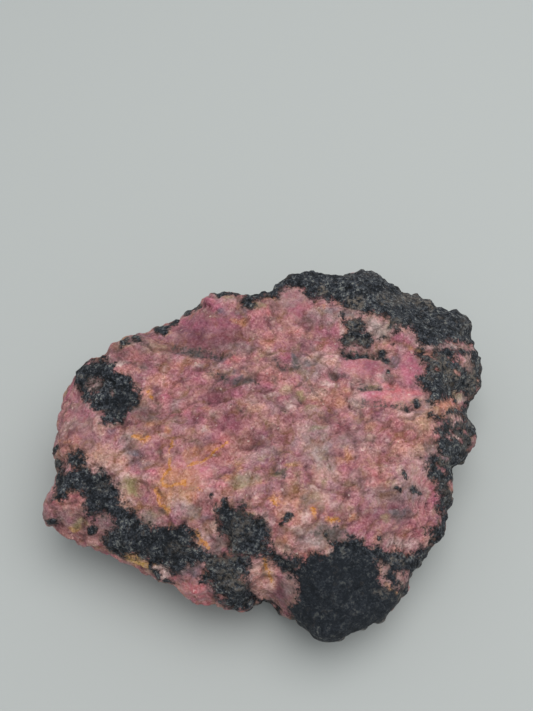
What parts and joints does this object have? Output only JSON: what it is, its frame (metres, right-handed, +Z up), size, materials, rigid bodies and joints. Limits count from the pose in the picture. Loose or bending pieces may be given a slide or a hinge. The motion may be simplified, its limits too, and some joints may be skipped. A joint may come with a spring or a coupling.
{
  "type": "rough rhodonite mineral specimen",
  "caption": "Broken hand-size lump of rose-pink rhodonite with black manganese oxide on its weathered sides, thick slab shape with a flat foot.",
  "frame": {"origin": "middle of the plan on the surface the lump rests on", "axes": "+Z up out of the broken face, +X along the longer side of the plan, -Y towards the viewer of the picture"},
  "size_m": [0.103, 0.0944, 0.0355],
  "materials": {
    "rhodonite": "rough broken rose-pink rhodonite, dull to slightly waxy, with patches of matt black manganese oxide"
  },
  "bodies": {
    "root": {"rhodonite_stone": "rhodonite"}
  },
  "joints": []
}
